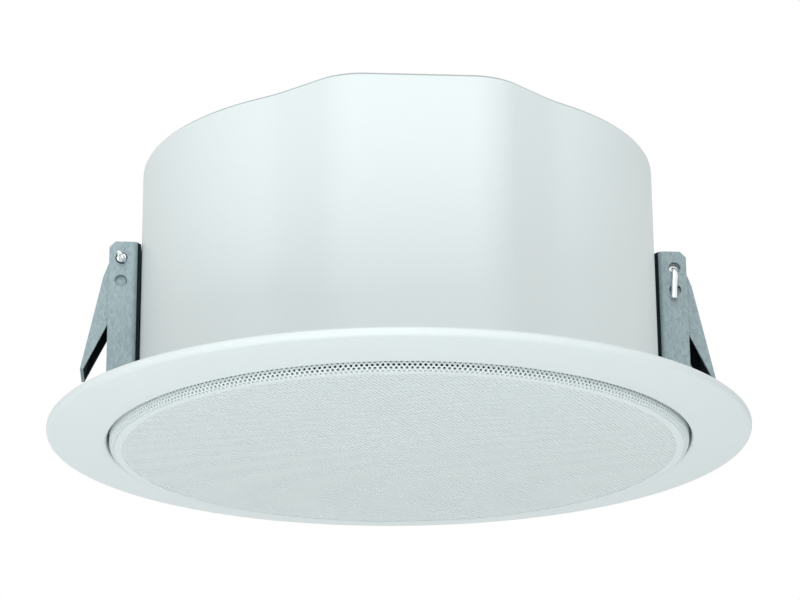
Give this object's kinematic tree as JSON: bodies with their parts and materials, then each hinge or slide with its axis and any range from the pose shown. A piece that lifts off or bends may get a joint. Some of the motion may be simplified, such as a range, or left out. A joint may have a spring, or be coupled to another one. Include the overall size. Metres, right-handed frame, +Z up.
{
  "type": "in-ceiling speaker",
  "caption": "Round in-ceiling loudspeaker: flange with a perforated grille below, a lobed closed can above and sprung clamp arms at the sides that fold up for fitting.",
  "frame": {"origin": "centre of the flange's back, the plane that lies against the ceiling", "axes": "+Z up into the ceiling void along the can's axis, +X through the right clamp, -Y to the front lobe of the can"},
  "size_m": [0.23, 0.23, 0.0986],
  "materials": {
    "flange_plastic": "white, fine matt",
    "grille_paint": "white powder coat on perforated sheet",
    "can_paint": "white powder coat",
    "galvanised": "galvanised sheet",
    "pin_steel": "bright zinc",
    "spring_steel": "drawn wire",
    "fastener_zinc": "zinc plated",
    "basket_paint": "black paint on pressed steel",
    "cone_paper": "pressed dark paper",
    "surround_cloth": "treated cloth",
    "spider_cloth": "resin-treated cloth",
    "coil_copper": "enamelled copper on a paper former",
    "motor_steel": "yellow zinc plated",
    "ferrite": "sintered ferrite",
    "phenolic": "phenolic board with tinned tags",
    "lamination": "laminated silicon steel",
    "winding_tape": "taped winding",
    "terminal_plastic": "moulded nylon",
    "grommet_rubber": "black rubber"
  },
  "bodies": {
    "housing": {"front_flange": "flange_plastic", "grille": "grille_paint", "back_can": "can_paint", "clamp_bracket_left": "galvanised", "clamp_bracket_right": "galvanised", "pivot_pin_left": "pin_steel", "pivot_pin_right": "pin_steel", "clamp_spring_left": "spring_steel", "clamp_spring_right": "spring_steel", "bracket_rivets": "fastener_zinc", "can_screws": "fastener_zinc", "driver_screws": "fastener_zinc", "driver_basket": "basket_paint", "surround": "surround_cloth", "spider": "spider_cloth", "top_plate": "motor_steel", "ferrite_magnet": "ferrite", "pole_yoke": "motor_steel", "tag_board": "phenolic", "transformer_core": "lamination", "transformer_winding": "winding_tape", "transformer_strap": "galvanised", "transformer_screws": "fastener_zinc", "terminal_block": "terminal_plastic", "terminal_screws": "fastener_zinc", "cable_grommet": "grommet_rubber"},
    "clamp_arm_left": {"clamp_lever_left": "galvanised"},
    "clamp_arm_right": {"clamp_lever_right": "galvanised"},
    "moving_coil": {"cone": "cone_paper", "dust_cap": "cone_paper", "voice_coil": "coil_copper"}
  },
  "joints": [
    {"name": "clamp_left", "type": "hinge", "parent": "housing", "child": "clamp_arm_left", "pos_m": [-0.092, 0, 0.0563], "axis": [0, 1, 0], "range_deg": [0, 165], "stiffness_Nm_per_rad": 0.35, "springref_deg": -68.75, "deforming": ["clamp_spring_left"]},
    {"name": "clamp_right", "type": "hinge", "parent": "housing", "child": "clamp_arm_right", "pos_m": [0.092, 0, 0.0563], "axis": [0, -1, 0], "range_deg": [0, 165], "stiffness_Nm_per_rad": 0.35, "springref_deg": -68.75, "deforming": ["clamp_spring_right"]},
    {"name": "cone_travel", "type": "slide", "parent": "housing", "child": "moving_coil", "axis": [0, 0, 1], "range_m": [-0.0025, 0.0025], "stiffness_N_per_m": 4000, "deforming": ["surround", "spider"]}
  ]
}
